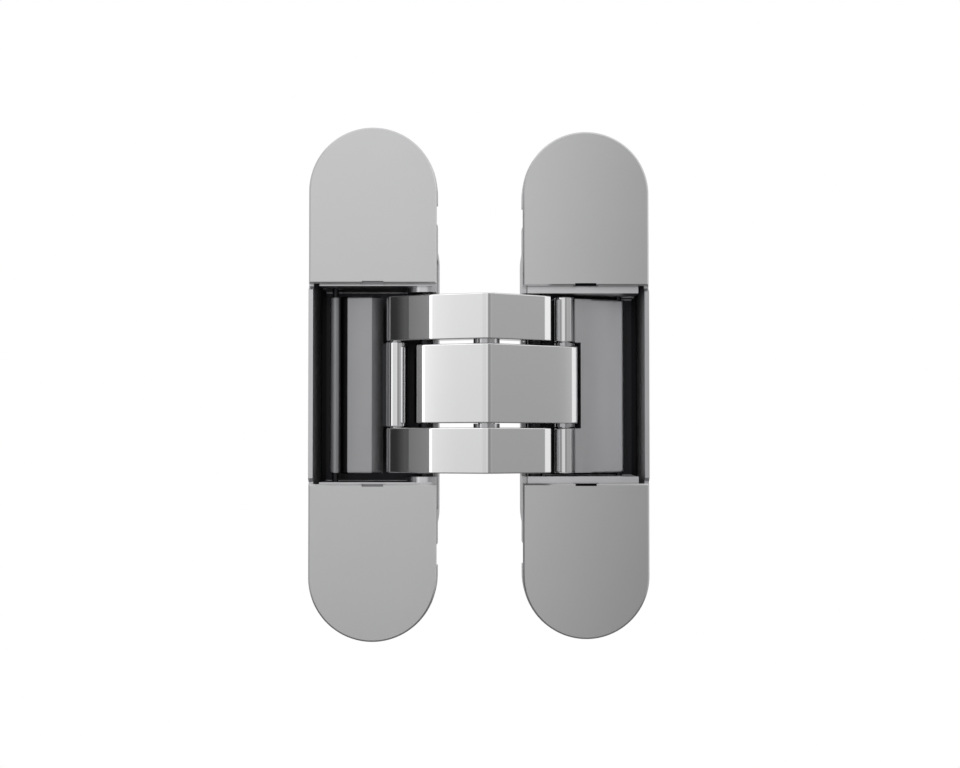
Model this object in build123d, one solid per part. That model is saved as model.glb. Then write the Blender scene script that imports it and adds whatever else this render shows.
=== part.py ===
from build123d import *
import cmath
import math
import os

# Concealed hinge for a door that hides in its edge, drawn open flat as in the photograph.
# The frame half lies on -X and the door half on +X. Their faces look along -Y, and +Z is up.
# The origin is midway between the frame half's screw holes, on the faces that seat in the wood.
# All sizes are in millimetres, and angles in degrees.

os.makedirs("parts", exist_ok=True)

# Clearances
FIT = 0.02              # round pieces that are held in one another
RUN = 0.05              # round pieces that turn on one another
SEAT = 0.1              # thrust washers
SIDE_GAP = 0.2          # beside turning knuckles
AIR = 0.4               # between pieces that pass each other
OVERRUN = 1.0           # cutters reach this far past what they cut

# Housings
BODY_W = 24.0           # width, which is the cutter's diameter
BODY_H = 96.0           # height over the shallow ends
END_L = 12.0            # reach of each shallow end past the deep middle
BOX_H = BODY_H - 2 * END_L
FLANGE_D = 8.0          # depth of the shallow ends
BOX_D = 22.5            # depth of the deep middle
WALL = 0.85             # side walls
FLOOR = 2.2             # back wall
LEDGE_L = 12.4          # length of the ledges that the carrier's ears lie on
LEDGE_Z = BOX_H / 2 - LEDGE_L
LEDGE_D = 12.2          # depth of those ledges
MOUTH_D = 10.5          # how deep the side is open for the arms
RIM_SET = 0.5           # the side rim lies this far behind the cover faces
RIM_CHAMFER = 0.7
NOTCH_L = 4.2           # notch in the inner edge, for a blade that prises a cover off
NOTCH_DEEP = 0.35
NOTCH_Z = BOX_H / 2 - 4.0
CORE_WALL = 2.0         # walls round the cored back of each end
EDGE_R = 0.6            # rounded back edges

# How the two halves stand to each other when open flat
OPEN_GAP = 16.0         # between the two housings
SETBACK = 4.8           # the door face lies this far behind the frame face
MIDDLE_X = (OPEN_GAP + BODY_W) / 2      # the point midway between the halves, from the origin
MIDDLE_Y = SETBACK / 2 - FLANGE_D

# Heights of the linkage, from the deep pocket inwards
LUG_L = 5.8             # from the end of a carrier's deep end plates to their inner faces
ARM_PLAY = 0.7          # between those and the arms
LINK_PLAY = 0.55        # and the links
PRONG_H = 8.5           # height of an outer arm
ARM_GAP = 0.85          # between the arms
PLATE_Z = LEDGE_Z - AIR
LUG_IN = PLATE_Z - LUG_L
ARM_HALF = LUG_IN - ARM_PLAY
LINK_HALF = LUG_IN - LINK_PLAY
INNER_HALF = ARM_HALF - PRONG_H - ARM_GAP

# Covers
COVER_T = 1.8
COVER_SKIN = 1.1
COVER_LAP = 1.3
COVER_EDGE = LUG_IN + COVER_LAP         # height of a cover's straight edge above the middle
COVER_INSET = 0.1       # covers are this much smaller than the housing all round
COVER_CHAMFER = 0.3
PRY_W = 4.0
PRY_H = 0.45
PEG_R = 1.5
PEG_U = BODY_W / 3
PEG_Z = BOX_H / 2 + PEG_R / 3
PEG_D = 4.5

# Fixing screws, countersunk, one at each end of a housing
FIX_Z = (BODY_H + BOX_H) / 4
FIX_R = 2.3
FIX_HEAD_R = 4.4

# Clamp screws that hold the carriers, and the eccentrics that shift them
CLAMP_R = 2.5
CLAMP_HEAD_R = 4.0
CLAMP_HEAD_T = 2.7
CLAMP_SOCKET = 4.0
CLAMP_GRIP = 6.8
CLAMP_END = LEDGE_D + CLAMP_GRIP
CLAMP_TRAVEL = 3.0
WASHER_R = CLAMP_HEAD_R + 2 * AIR
WASHER_T = 0.5
CLAMP_Z = PLATE_Z + WASHER_R + AIR
HEAD_ROOM = 0.6
ADJUST_R = 1.8
ADJUST_PIN_R = 0.9
ADJUST_THROW = 0.5
ADJUST_GRIP = 4.0
ADJUST_SOCKET = 1.8
ADJUST_IN = 5.4
ADJUST_U = ADJUST_IN - BODY_W / 2
ADJUST_Z = PLATE_Z + ADJUST_R

# Carriers
CARRIER_TOP = COVER_T + AIR             # front of the end plates behind the cover face
CARRIER_LIFT = 0.3                      # room behind the web
CARRIER_D = BOX_D - FLOOR - CARRIER_LIFT
WEB_T = 1.7             # back web between the end plates
OUTER_PLAY = 1.05       # room for the side shift, beside the outer wall
INNER_PLAY = 0.15       # and beside the wall towards the other half
EAR_TOP = COVER_T + HEAD_ROOM + CLAMP_HEAD_T + WASHER_T
EAR_D = LEDGE_D - SIDE_GAP
EAR_PLAY = 0.7          # play of the ears in the pocket
ADJUST_END = EAR_D + ADJUST_GRIP

# Linkage, drawn in its own mirrored frame: x from the mirror line, y into the depth
YAW = 6.9               # turn of that frame against the housings
LINKAGE_X = 0.8         # and its place from the middle
LINKAGE_Y = 0.5
CROSS_Y = -3.4          # where the arms cross, on the mirror line
FIXED_X = 10.4          # short end of an arm, on its fixed pin
FIXED_Y = 5.5
KNUCKLE_X = 16.1        # long end of an arm, on the link
KNUCKLE_Y = 5.2
CROSS = complex(0, CROSS_Y)
FIXED = complex(FIXED_X, FIXED_Y)
KNUCKLE = complex(KNUCKLE_X, KNUCKLE_Y)
HALF_TURN = 90.0        # turn of each half, from open flat to closed
ARM_RATIO = 1.12        # turn of an arm on its fixed pin, for each degree of a half
LINK_RATIO = -0.46      # turn of a link against its housing, likewise

# Arms
BEND_Y = -7.2           # front edge of the bend
ARM_SLOPE = 29.0
ARM_T = 4.6
BEND_R = 2.5
FIXED_R = 2.3
KNUCKLE_R = 1.9
FACET_SLOPE = 35.0      # each end has a facet a little steeper than the front
FACET_X = 9.9           # where the outer arm's long facet starts
CREASE_X = 14.1         # and where it ends
NOSE_X = 18.3           # tip of the inner arm's long end
NOSE_L = 1.2            # width of the facet there
CHEEK_L = 1.6           # and at the short ends
ARM_CHAMFER = 0.25

# Links, drawn in their own frame: x along the plate from the knuckle, y behind its front
LINK_TILT = 16.28       # turn of the plate in the mirrored frame
ROLL_R = 2.0            # the knuckles
EYE_R = 1.05            # the rounded outer end
PLATE_T = 2 * EYE_R
BEVEL_END = 4.8         # the front starts here, clear of the folded arm
FOLD_SLOPE = 46.7       # slope of the folded arm against the plate
PLATE_END = 9.6         # the frame link's front slopes back from here to its rounded end
SLOPE_DEEP = 1.5
WEB_SET = 1.8           # depth of the step beside the frame link's knuckle
WEB_L = 1.2             # thickness of the web behind that step
DOOR_SET = 0.9          # the door link's front lies this far behind the knuckle's middle
PLATE_CHAMFER = 0.45
FRAME_SLIDE = 12.15     # from the knuckle to the outer pin
DOOR_SLIDE = 12.7

# Pins, bushes and washers
FIXED_PIN_R = 1.4
FIXED_PIN_HALF = LUG_IN + 4.0
BUSH_T = 0.35
CROSS_PIN_R = 1.6
CROSS_PIN_HALF = ARM_HALF - SIDE_GAP
CROSS_WASHER_R = 2.45
KNUCKLE_PIN_R = 1.2
SLIDE_PIN_R = 0.6
SLIDE_PIN_HALF = LUG_IN + 3.6
SLOT_END = SLIDE_PIN_HALF + 2 * AIR

# Where the two halves differ. Only the frame's carrier has lugs for its arm pin.
LUG_R = 3.6
LUG_RISE = 1.0          # the lugs stand this far in from the frame's end plates
LUG_EDGE = BODY_W / 2 - 0.3             # they fill the open side up to here
HALF_SIDE = {"frame": -1, "door": 1}
MOUTH_Z = {"frame": LEDGE_Z, "door": LUG_IN}                # half height of the open side
PLATE_IN = {"frame": LUG_IN + LUG_RISE, "door": LUG_IN}     # inner faces of the end plates
SLIDE_S = {"frame": FRAME_SLIDE, "door": DOOR_SLIDE}
PLATE_SET = {"frame": 0.0, "door": DOOR_SET}                # front of a link behind its knuckle's middle


def slab(sketch, front, back):
    """Extrude a sketch, drawn as seen from the front, from one depth to another."""
    return Pos(0, front, 0) * extrude(Plane.XZ * sketch, amount=back - front, dir=(0, 1, 0))


def stadium(width, height):
    """Upright outline with half-round ends."""
    return SlotOverall(height, width, rotation=90)


def rod(u, z, radius, front, back):
    """Round bar that runs into the depth."""
    return Pos(u, (front + back) / 2, z) * Rot(90, 0, 0) * Cylinder(radius, back - front)


def block(u0, u1, front, back, z0, z1):
    """Plain block between pairs of faces."""
    return Pos((u0 + u1) / 2, (front + back) / 2, (z0 + z1) / 2) * Box(u1 - u0, back - front, z1 - z0)


def both_ends(shape):
    """A shape made for the upper end, with its twin at the lower end."""
    return shape + mirror(shape, about=Plane.XY)


def place(shape, half):
    """Move a piece from its half's own frame, where +X points at the other half."""
    side = HALF_SIDE[half]
    if side > 0:
        shape = mirror(shape, about=Plane.YZ)
    centre = side * (OPEN_GAP + BODY_W) / 2
    return Pos(MIDDLE_X + centre, MIDDLE_Y + side * SETBACK / 2, 0) * shape


def link_frame(shape):
    """Move a piece of the linkage from its mirrored frame."""
    return Pos(MIDDLE_X + LINKAGE_X, MIDDLE_Y + LINKAGE_Y, 0) * Rot(0, 0, YAW) * shape


def layer(sketch, z0, z1):
    """Extrude a sketch of the linkage, drawn as seen from above."""
    return Pos(0, 0, z0) * extrude(sketch, amount=z1 - z0)


def at(point, side, sketch):
    """Set a sketch on a point of the linkage, on the frame or the door side of its mirror line."""
    return Pos(side * point.real, point.imag) * sketch


def ring(point, side, outer, inner, z0, z1):
    """Washer, bush or tube on an axis of the linkage."""
    return layer(at(point, side, Circle(outer) - Circle(inner)), z0, z1)


def turned(vector, degrees):
    """A vector of the linkage after a turn."""
    return vector * cmath.exp(1j * math.radians(degrees))


def slide_point(half):
    """Where a link's outer pin lies in the linkage at rest."""
    return KNUCKLE + turned(complex(SLIDE_S[half], PLATE_SET[half] + EYE_R), LINK_TILT)


def slide_place(half, turn):
    """Where that pin lies in its carrier once each half has turned so far."""
    cross = FIXED + turned(CROSS - FIXED, ARM_RATIO * turn)
    knuckle = cross + turned(KNUCKLE - CROSS, (2 - ARM_RATIO) * turn)
    return knuckle + turned(slide_point(half) - KNUCKLE, LINK_RATIO * turn)


def slide_slot(half):
    """Slot in a carrier's end plates that the link's outer pin rides in."""
    steps = 9
    places = [slide_place(half, HALF_TURN * step / steps) for step in range(steps + 1)]
    dots = [at(place, HALF_SIDE[half], Circle(SLIDE_PIN_R + AIR)) for place in places]
    return make_hull([edge for dot in dots for edge in dot.edges()])


def make_housing(half):
    """Cast cup, stepped to suit a two-level pocket in the wood."""
    body = slab(stadium(BODY_W, BODY_H), COVER_T, FLANGE_D)
    body += slab(stadium(BODY_W, BOX_H), FLANGE_D, BOX_D)
    body = fillet(body.faces().sort_by(Axis.Y)[-1].edges(), EDGE_R)
    inside = stadium(BODY_W - 2 * WALL, BOX_H - 2 * WALL)
    body -= slab(inside, COVER_T, LEDGE_D)
    deep = inside & Rectangle(BODY_W, 2 * LEDGE_Z)
    body -= slab(deep, LEDGE_D, BOX_D - FLOOR)
    edge = BODY_W / 2
    body -= block(edge - 2 * WALL, edge + WALL, 0, MOUTH_D, -MOUTH_Z[half], MOUTH_Z[half])
    low, high = NOTCH_Z - NOTCH_L / 2, NOTCH_Z + NOTCH_L / 2
    body -= both_ends(block(edge - NOTCH_DEEP, edge + OVERRUN, 0, FLANGE_D, low, high))
    body += side_rim()
    body -= both_ends(back_core())
    body -= both_ends(rod(0, FIX_Z, FIX_R, 0, FLANGE_D + OVERRUN))
    head = Pos(0, COVER_T + (FIX_HEAD_R - FIX_R) / 2, FIX_Z) * Rot(90, 0, 0)
    body -= both_ends(head * Cone(FIX_R, FIX_HEAD_R, FIX_HEAD_R - FIX_R))
    for u in (-PEG_U, PEG_U):
        body -= both_ends(rod(u, PEG_Z, PEG_R + FIT, 0, COVER_T + PEG_D + AIR))
    body -= both_ends(rod(0, CLAMP_Z, CLAMP_R + FIT, LEDGE_D - OVERRUN, CLAMP_END + AIR))
    pin_u = ADJUST_U + ADJUST_THROW
    pin_hole = rod(pin_u, ADJUST_Z, ADJUST_PIN_R + FIT, LEDGE_D - OVERRUN, ADJUST_END + AIR)
    body -= both_ends(pin_hole)
    return body


def side_rim():
    """Thin rim of the outer wall that shows between the covers, with sloped ends."""
    half_height = COVER_EDGE - AIR
    crest = half_height - RIM_CHAMFER
    outline = Polygon(
        (RIM_SET, -crest), (COVER_T, -half_height), (COVER_T, half_height), (RIM_SET, crest), align=None
    )
    return Pos(-BODY_W / 2, 0, 0) * extrude(Plane.YZ * outline, amount=WALL)


def back_core():
    """Hollow in the back of one end, round the boss of the clamp screw."""
    outline = stadium(BODY_W - 2 * CORE_WALL, BOX_H - 2 * CORE_WALL)
    low = LEDGE_Z + CORE_WALL
    outline &= Pos(0, low + BOX_H / 2) * Rectangle(BODY_W, BOX_H)
    outline -= Pos(0, CLAMP_Z) * Circle(CLAMP_R + CORE_WALL)
    outline -= Pos(ADJUST_U, ADJUST_Z) * Circle(ADJUST_R + CORE_WALL / 2)
    return slab(outline, LEDGE_D + CORE_WALL, BOX_D + OVERRUN)


def make_cover():
    """Clip-on cap over one end, hollow behind, with two pegs and a pry slot."""
    reach = BODY_H / 2 - COVER_EDGE
    upper = Pos(0, COVER_EDGE + reach / 2) * Rectangle(BODY_W, reach)
    outline = stadium(BODY_W - 2 * COVER_INSET, BODY_H - 2 * COVER_INSET) & upper
    cap = slab(outline, 0, COVER_T)
    cap = chamfer(cap.faces().sort_by(Axis.Y)[0].edges(), COVER_CHAMFER)
    hollow = offset(outline, -(WALL + COVER_INSET))
    cap -= slab(hollow, COVER_SKIN, COVER_T)
    for u in (-PEG_U, PEG_U):
        cap += rod(u, PEG_Z, PEG_R, COVER_SKIN, COVER_T + PEG_D)
    cap -= block(-PRY_W / 2, PRY_W / 2, 0, COVER_SKIN, COVER_EDGE, COVER_EDGE + PRY_H)
    return cap


def make_carrier(half):
    """Inner block: two deep end plates joined by a web, with ears for the clamp screws."""
    edge, plate = BODY_W / 2 - WALL, PLATE_IN[half]
    outer, inner = OUTER_PLAY - edge, edge - INNER_PLAY
    upper = block(outer, inner, CARRIER_TOP, CARRIER_D, plate, PLATE_Z)
    ear = stadium(BODY_W - 2 * (WALL + EAR_PLAY), BOX_H - 2 * (WALL + EAR_PLAY))
    ear &= Pos(0, PLATE_Z + BOX_H / 2) * Rectangle(BODY_W, BOX_H)
    upper += slab(ear, EAR_TOP, EAR_D)
    slot = Pos(0, CLAMP_Z) * stadium(2 * CLAMP_R + AIR, 2 * CLAMP_R + CLAMP_TRAVEL)
    upper -= slab(slot, EAR_TOP - OVERRUN, EAR_D + OVERRUN)
    upper -= rod(ADJUST_U, ADJUST_Z, ADJUST_R + FIT, EAR_TOP - OVERRUN, EAR_D + OVERRUN)
    body = both_ends(upper)
    body += block(outer, inner, CARRIER_D - WEB_T, CARRIER_D, -plate, plate)
    return body


def finish_carrier(half):
    """Carrier in its place, with pin lugs, pin holes and slots taken from the linkage."""
    side = HALF_SIDE[half]
    body = place(make_carrier(half), half)
    if PLATE_IN[half] > LUG_IN:
        lug = layer(at(FIXED, side, Circle(LUG_R)), LUG_IN, PLATE_Z)
        limit = block(0, LUG_EDGE, CARRIER_TOP, MOUTH_D - AIR, LUG_IN, PLATE_Z)
        body += both_ends(link_frame(lug) & place(limit, half))
    hole = at(FIXED, side, Circle(FIXED_PIN_R + FIT))
    hole = layer(hole, LUG_IN - OVERRUN, FIXED_PIN_HALF + AIR)
    slot = layer(slide_slot(half), LUG_IN - OVERRUN, SLOT_END)
    body -= both_ends(link_frame(hole))
    body -= both_ends(link_frame(slot))
    return body


def make_clamp_screw():
    """Cheese-head screw with a six-sided socket."""
    head_back = EAR_TOP - WASHER_T
    head_top = head_back - CLAMP_HEAD_T
    screw = rod(0, CLAMP_Z, CLAMP_HEAD_R, head_top, head_back)
    screw += rod(0, CLAMP_Z, CLAMP_R, head_back, CLAMP_END)
    socket = Pos(0, CLAMP_Z) * RegularPolygon(CLAMP_SOCKET / 2, 6, major_radius=False)
    return screw - slab(socket, head_top, head_top + CLAMP_HEAD_T / 2)


def make_clamp_washer():
    """Plain washer that bridges the slot in an ear."""
    washer = rod(0, CLAMP_Z, WASHER_R, EAR_TOP - WASHER_T, EAR_TOP)
    return washer - rod(0, CLAMP_Z, CLAMP_R + FIT, EAR_TOP - OVERRUN, EAR_TOP + OVERRUN)


def make_side_adjuster():
    """Eccentric that turns in an ear and bears on the housing."""
    cam = rod(ADJUST_U, ADJUST_Z, ADJUST_R, EAR_TOP, EAR_D)
    cam += rod(ADJUST_U + ADJUST_THROW, ADJUST_Z, ADJUST_PIN_R, EAR_D, ADJUST_END)
    socket = Pos(ADJUST_U, ADJUST_Z) * RegularPolygon(ADJUST_SOCKET / 2, 6, major_radius=False)
    return cam - slab(socket, EAR_TOP, EAR_TOP + ADJUST_SOCKET)


def arm_front(x):
    """Depth of an arm's front face beside the bend."""
    return BEND_Y + abs(x) * math.tan(math.radians(ARM_SLOPE))


def arm_back(x):
    """Depth of an arm's back face beside the bend."""
    return arm_front(x) + ARM_T / math.cos(math.radians(ARM_SLOPE))


def facet(start, end):
    """The two corners of a facet on an arm's front."""
    drop = (end - start) * math.tan(math.radians(FACET_SLOPE))
    return [(start, arm_front(start)), (end, arm_front(start) + drop)]


def on_knuckle(corner):
    """Where a flat from a corner of the front meets the round of the knuckle."""
    path = KNUCKLE - complex(*corner)
    swing = math.degrees(math.asin(KNUCKLE_R / abs(path)))
    length = math.sqrt(abs(path) ** 2 - KNUCKLE_R ** 2)
    point = complex(*corner) + turned(path / abs(path) * length, -swing)
    return (point.real, point.imag)


def short_end():
    """Outline of an arm from the bend to its fixed pin, on the door side."""
    edge = FIXED.real + FIXED_R
    inner = FIXED.real - FIXED_R
    outline = Polygon(
        (0, BEND_Y), *facet(edge - CHEEK_L, edge), (edge, FIXED.imag),
        (inner, FIXED.imag), (inner, arm_back(inner)), (0, arm_back(0)), align=None
    )
    return outline + at(FIXED, 1, Circle(FIXED_R))


def long_end(front_points):
    """Outline of an arm from the bend to its knuckle, on the door side."""
    heel = KNUCKLE.real - FIXED_R - SIDE_GAP
    outline = Polygon(
        (0, BEND_Y), *front_points, (KNUCKLE.real, KNUCKLE.imag + KNUCKLE_R),
        (heel, arm_back(heel)), (0, arm_back(0)), align=None
    )
    outline += at(KNUCKLE, 1, Circle(KNUCKLE_R))
    return outline - at(FIXED, 1, Circle(FIXED_PIN_R + AIR))


def arm_profile(front_points, long_side):
    """Whole outline of an arm whose long end lies on the given side."""
    long_part, short_part = long_end(front_points), short_end()
    if long_side > 0:
        short_part = mirror(short_part, about=Plane.YZ)
    else:
        long_part = mirror(long_part, about=Plane.YZ)
    profile = long_part + short_part
    bend = profile.vertices().sort_by(Axis.Y)[0]
    return fillet(bend, BEND_R)


def make_arm(profile, long_side, cross_r, z0, z1):
    """Arm of one height, with its bores and chamfered rims."""
    body = layer(profile, z0, z1)
    rims = body.faces().sort_by(Axis.Z)
    body = chamfer(rims[0].edges() + rims[-1].edges(), ARM_CHAMFER)
    body -= layer(Circle(cross_r).moved(Pos(CROSS.real, CROSS.imag)), z0, z1)
    body -= layer(at(FIXED, -long_side, Circle(FIXED_PIN_R + RUN + BUSH_T + FIT)), z0, z1)
    body -= layer(at(KNUCKLE, long_side, Circle(KNUCKLE_PIN_R + FIT)), z0, z1)
    return link_frame(body)


def on_link(shape, half):
    """Move a piece from a link's own frame to its place."""
    shape = Pos(KNUCKLE_X, KNUCKLE_Y, 0) * Rot(0, 0, LINK_TILT) * shape
    if HALF_SIDE[half] < 0:
        shape = mirror(shape, about=Plane.YZ)
    return link_frame(shape)


def bevel(depth):
    """Where the bevel that clears the folded arm lies at a depth of a link."""
    return BEVEL_END - depth / math.tan(math.radians(FOLD_SLOPE))


def link_plate(half):
    """Plate of a link, bevelled where the arm folds against it, with a round outer end."""
    length, front = SLIDE_S[half], PLATE_SET[half]
    back = front + PLATE_T
    outline = Polygon(
        (bevel(back), back), (bevel(front), front), (length, front), (length, back), align=None
    )
    plate = layer(outline, -LINK_HALF, LINK_HALF)
    face = plate.faces().filter_by(Axis.Y).sort_by(Axis.Y)[0]
    plate = chamfer(face.edges().filter_by(Axis.X), PLATE_CHAMFER)
    return plate + layer(Pos(length, front + EYE_R) * Circle(EYE_R), -LINK_HALF, LINK_HALF)


def link_roll(front, back):
    """Outline of a link's knuckle and of the web to its plate."""
    web = Polygon((0, front), (BEVEL_END, front), (BEVEL_END, back), (0, back), align=None)
    return Circle(ROLL_R) + web


def make_link(half):
    """Plate between an arm's knuckle and the pin that slides in the carrier."""
    length, front = SLIDE_S[half], PLATE_SET[half]
    prong = INNER_HALF + ARM_GAP
    body = link_plate(half)
    if half == "frame":
        body += layer(link_roll(WEB_SET, WEB_SET + WEB_L), -(prong - SIDE_GAP), prong - SIDE_GAP)
        eye = length - EYE_R
        groove = Polygon(
            (PLATE_END, front), (eye, SLOPE_DEEP), (eye, -OVERRUN), (PLATE_END, -OVERRUN), align=None
        )
        body -= layer(groove, -LINK_HALF, LINK_HALF)
    else:
        body += both_ends(layer(link_roll(front, front + PLATE_T), prong, LINK_HALF))
    body -= layer(Circle(KNUCKLE_PIN_R + RUN), -LINK_HALF, LINK_HALF)
    body -= layer(Pos(length, front + EYE_R) * Circle(SLIDE_PIN_R + FIT), -LINK_HALF, LINK_HALF)
    return on_link(body, half)


def make_pin(point, side, radius, half_length):
    """Plain pin across the linkage."""
    return link_frame(layer(at(point, side, Circle(radius)), -half_length, half_length))


def save(shape, name):
    """Write one node."""
    export_step(shape, f"parts/{name}.step")


def save_pair(shape, name):
    """Write a node that holds a piece and its twin at the other end."""
    twin = mirror(shape, about=Plane.XY)
    save(Compound(children=[Solid(shape.solid().wrapped), Solid(twin.solid().wrapped)]), name)


def save_half(half):
    """Write the pieces that one half holds."""
    side = HALF_SIDE[half]
    cover = place(make_cover(), half)
    save(place(make_housing(half), half), f"{half}_housing")
    save(finish_carrier(half), f"{half}_carrier")
    save(cover, f"{half}_upper_cover")
    save(mirror(cover, about=Plane.XY), f"{half}_lower_cover")
    save_pair(place(make_clamp_screw(), half), f"{half}_clamp_screws")
    save_pair(place(make_clamp_washer(), half), f"{half}_clamp_washers")
    save_pair(place(make_side_adjuster(), half), f"{half}_side_adjusters")
    save(make_pin(FIXED, side, FIXED_PIN_R, FIXED_PIN_HALF), f"{half}_arm_pin")
    save(make_link(half), f"{half}_link")
    save(make_pin(slide_point(half), side, SLIDE_PIN_R, SLIDE_PIN_HALF), f"{half}_link_pin")


def save_arms():
    """Write the arms with the pins, bushes and washers that they carry."""
    frame, door = HALF_SIDE["frame"], HALF_SIDE["door"]
    prong = INNER_HALF + ARM_GAP
    long_facet = facet(FACET_X, CREASE_X)
    nose = [*facet(NOSE_X - NOSE_L, NOSE_X), (NOSE_X, KNUCKLE.imag)]
    outer = arm_profile([*long_facet, on_knuckle(long_facet[-1])], frame)
    inner = arm_profile(nose, door)
    upper = make_arm(outer, frame, CROSS_PIN_R + FIT, prong, ARM_HALF)
    save(upper, "upper_outer_arm")
    save(mirror(upper, about=Plane.XY), "lower_outer_arm")
    save(make_arm(inner, door, CROSS_PIN_R + RUN, -INNER_HALF, INNER_HALF), "inner_arm")
    bush_in = FIXED_PIN_R + RUN
    bush_out = bush_in + BUSH_T
    save_pair(link_frame(ring(FIXED, door, bush_out, bush_in, prong, ARM_HALF)), "outer_arm_bushes")
    save(link_frame(ring(FIXED, frame, bush_out, bush_in, -INNER_HALF, INNER_HALF)), "inner_arm_bush")
    save(make_pin(CROSS, door, CROSS_PIN_R, CROSS_PIN_HALF), "centre_pin")
    thrust = ring(CROSS, door, CROSS_WASHER_R, CROSS_PIN_R + FIT, INNER_HALF + SEAT, prong)
    save_pair(link_frame(thrust), "centre_washers")
    save(make_pin(KNUCKLE, frame, KNUCKLE_PIN_R, ARM_HALF - SIDE_GAP), "frame_knuckle_pin")
    save(make_pin(KNUCKLE, door, KNUCKLE_PIN_R, LINK_HALF - SIDE_GAP), "door_knuckle_pin")
    spacer = ring(KNUCKLE, door, ROLL_R, KNUCKLE_PIN_R + FIT, INNER_HALF, prong - SIDE_GAP)
    save_pair(link_frame(spacer), "door_knuckle_washers")


for half in HALF_SIDE:
    save_half(half)
save_arms()
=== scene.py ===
"""Concealed door hinge: finishes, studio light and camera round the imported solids."""

import logging
import math
from collections.abc import Callable
from dataclasses import dataclass, field, replace
from enum import Enum, IntEnum
from functools import partial
from typing import Any

import bpy
import numpy as np
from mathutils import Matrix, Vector
from mathutils.geometry import tessellate_polygon


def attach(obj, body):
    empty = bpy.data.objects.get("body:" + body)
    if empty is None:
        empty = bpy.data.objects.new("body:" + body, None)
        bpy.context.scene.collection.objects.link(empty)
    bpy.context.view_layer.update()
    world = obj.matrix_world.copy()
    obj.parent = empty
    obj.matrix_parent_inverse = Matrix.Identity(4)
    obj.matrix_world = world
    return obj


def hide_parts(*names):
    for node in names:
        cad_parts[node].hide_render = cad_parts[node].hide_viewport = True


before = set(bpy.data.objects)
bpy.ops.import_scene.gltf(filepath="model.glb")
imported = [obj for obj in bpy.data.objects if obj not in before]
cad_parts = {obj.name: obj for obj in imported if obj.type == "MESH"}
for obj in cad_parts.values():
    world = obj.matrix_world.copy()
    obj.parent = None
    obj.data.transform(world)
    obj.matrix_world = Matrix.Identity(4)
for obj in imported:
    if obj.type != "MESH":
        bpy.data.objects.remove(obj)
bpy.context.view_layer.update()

log = logging.getLogger("hinge")

MM = 0.001
IMAGE_W = 960
WHITE = "#FFFFFF"

# Takes outline points in millimetres and returns them in the shared frame.
Put = Callable[[np.ndarray], np.ndarray]


class Half(Enum):
    """The two halves of the hinge."""

    FRAME = "frame"
    DOOR = "door"


class Grain(Enum):
    """How a metal surface was worked, which sets the run of its fine marks."""

    NONE = (1.0, 1.0, 1.0)
    UPRIGHT = (1.0, 1.0, 0.04)
    LEVEL = (0.04, 1.0, 1.0)


class Coat(IntEnum):
    """Which of a piece's finishes a prism takes."""

    PLATE = 0
    POLISHED = 1
    # The dark steel is painted shade for webs and slopes that lie in shadow.
    PAINTED_SHADE = 2


def linear(hex_colour: str) -> tuple[float, float, float, float]:
    """Turn an sRGB hex colour into linear light.

    Args:
        hex_colour: Six hex digits, with or without a leading mark.

    Returns:
        Red, green, blue and alpha in linear light.
    """
    digits = hex_colour.lstrip("#")
    srgb = np.array([int(digits[i:i + 2], 16) for i in (0, 2, 4)]) / 255.0
    light = np.where(srgb <= 0.04045, srgb / 12.92, ((srgb + 0.055) / 1.055) ** 2.4)
    return (float(light[0]), float(light[1]), float(light[2]), 1.0)


def add_node(tree: bpy.types.NodeTree, kind: str, settings: dict[str, Any] | None = None,
             values: dict[Any, Any] | None = None, links: dict[Any, Any] | None = None) -> bpy.types.Node:
    """Add one node with its settings, socket values and incoming links.

    Args:
        tree: The node tree.
        kind: Blender's name of the node type.
        settings: Attributes of the node.
        values: Default values of input sockets, by name or number.
        links: Output sockets that feed input sockets, by name or number.

    Returns:
        The new node.
    """
    node = tree.nodes.new(kind)
    for name, value in (settings or {}).items():
        setattr(node, name, value)
    for name, value in (values or {}).items():
        node.inputs[name].default_value = value
    for name, source in (links or {}).items():
        tree.links.new(source, node.inputs[name])
    return node


def fill_ramp(node: bpy.types.Node, stops: list[tuple[float, float]]) -> None:
    """Set a colour ramp to greys.

    Args:
        node: The colour ramp node.
        stops: Pairs of position and linear grey.
    """
    elements = node.color_ramp.elements
    while len(elements) < len(stops):
        elements.new(0.5)
    for element, (place, grey) in zip(elements, stops):
        element.position = place
        element.color = (grey, grey, grey, 1.0)


def blank_material(name: str) -> bpy.types.Material:
    """Make a material with an empty node tree.

    Args:
        name: Name of the material.

    Returns:
        The material.
    """
    made = bpy.data.materials.new(name)
    made.use_nodes = True
    made.node_tree.nodes.clear()
    return made


def add_object(name: str, data: bpy.types.ID) -> bpy.types.Object:
    """Put a mesh or a camera into the scene.

    Args:
        name: Name of the object.
        data: The mesh or the camera.

    Returns:
        The object.
    """
    made = bpy.data.objects.new(name, data)
    bpy.context.scene.collection.objects.link(made)
    return made


@dataclass(frozen=True)
class Pocket:
    """Where painted shade darkens a casting, in millimetres.

    The depth counts from the cover face, and the half width from the middle of the half. Past the
    height of the lip, which lies under the covers, the painted shade is full again.
    """

    start: float
    end: float
    colour: str
    half_width: float = 20.0
    half_height: float = 60.0
    back: float = 30.0
    lip: float = 60.0


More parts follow.
